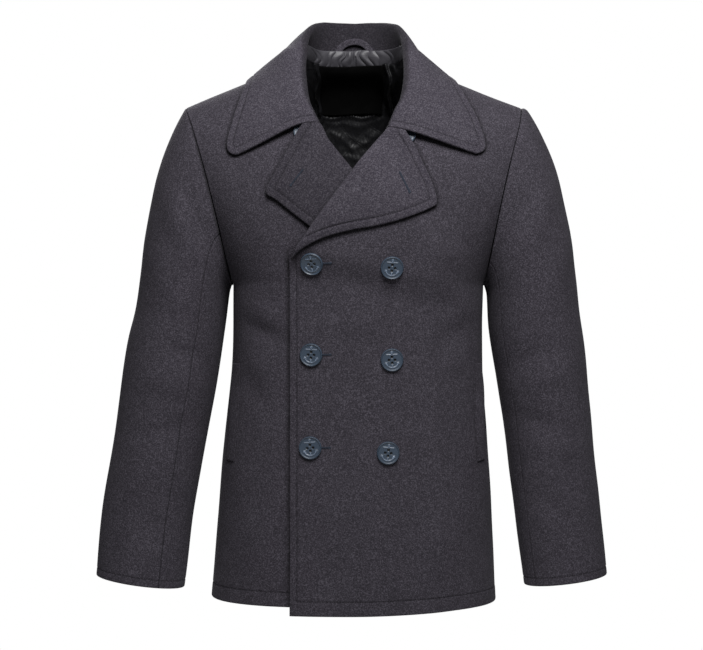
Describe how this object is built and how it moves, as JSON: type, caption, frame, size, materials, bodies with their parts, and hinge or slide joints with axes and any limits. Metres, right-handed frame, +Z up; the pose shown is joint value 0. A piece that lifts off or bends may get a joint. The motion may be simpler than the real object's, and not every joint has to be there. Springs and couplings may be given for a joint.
{
  "type": "pea coat",
  "caption": "Double-breasted wool coat with notched lapels, a broad turned collar and slanted side pockets, filled out as if worn.",
  "frame": {"origin": "at the wearer's shoulders: x = 0 on the body's middle, y = 0 in the plane of the side and shoulder seams, z = 0 at the height of the outer shoulders", "axes": "+Z up, -Y out of the coat's front, +X towards the wearer's left"},
  "size_m": [0.716, 0.2995, 0.8312],
  "materials": {
    "melton": "thick napped wool, dark charcoal navy",
    "neck_band": "gathered satin",
    "lining": "quilted satin lining, near black",
    "label": "plain black woven label",
    "button": "semi-gloss moulded, worn on its raised edge"
  },
  "bodies": {
    "root": {"front_left": "melton", "front_right": "melton", "back_left": "melton", "back_right": "melton", "sleeve_left_top": "melton", "sleeve_left_under": "melton", "sleeve_right_top": "melton", "sleeve_right_under": "melton", "collar": "melton", "lapel_left": "melton", "lapel_right": "melton", "pocket_welt_left": "melton", "pocket_welt_right": "melton", "hanger_loop": "melton", "neck_band": "neck_band", "back_lining": "lining", "neck_label": "label", "button_overlap_upper": "button", "button_overlap_middle": "button", "button_overlap_lower": "button", "button_left_upper": "button", "button_left_middle": "button", "button_left_lower": "button", "button_neck_left": "button", "button_neck_right": "button"}
  },
  "joints": []
}
